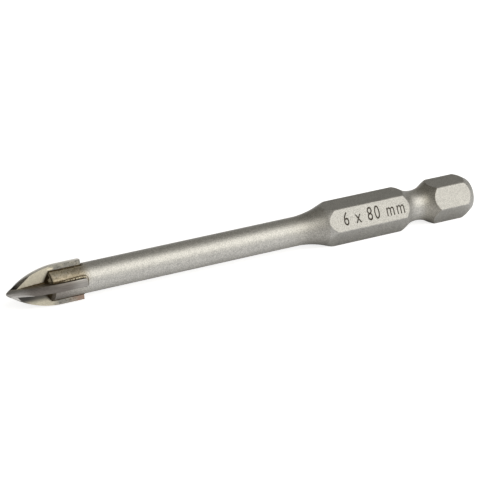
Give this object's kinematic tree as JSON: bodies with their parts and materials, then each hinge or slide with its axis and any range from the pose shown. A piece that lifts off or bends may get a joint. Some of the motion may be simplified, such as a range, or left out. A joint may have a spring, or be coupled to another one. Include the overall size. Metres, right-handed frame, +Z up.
{
  "type": "glass and tile drill bit",
  "caption": "Spear-point tile drill bit with crossed carbide blades brazed into a slotted steel shaft and a hexagonal quick-change shank with a locking groove.",
  "frame": {"origin": "centre of the shank's flat end face, on the bit's axis", "axes": "+X along the bit's axis from the shank's end to the cutting tip; +Z up with the bit lying on one flat of its hexagon; the flat that carries the marking faces +Y and up by 30 degrees"},
  "size_m": [0.0799, 0.0072, 0.0064],
  "materials": {
    "blasted_steel": "fine blasted satin nickel look",
    "ground_carbide": "dull grey sintered and ground carbide, yellowish from brazing heat on its sides",
    "braze": "dark golden brown braze with flux stain"
  },
  "bodies": {
    "root": {"steel_shank": "blasted_steel", "carbide_through_plate": "ground_carbide", "carbide_half_plate_upper": "ground_carbide", "carbide_half_plate_lower": "ground_carbide", "braze_filler": "braze"}
  },
  "joints": []
}
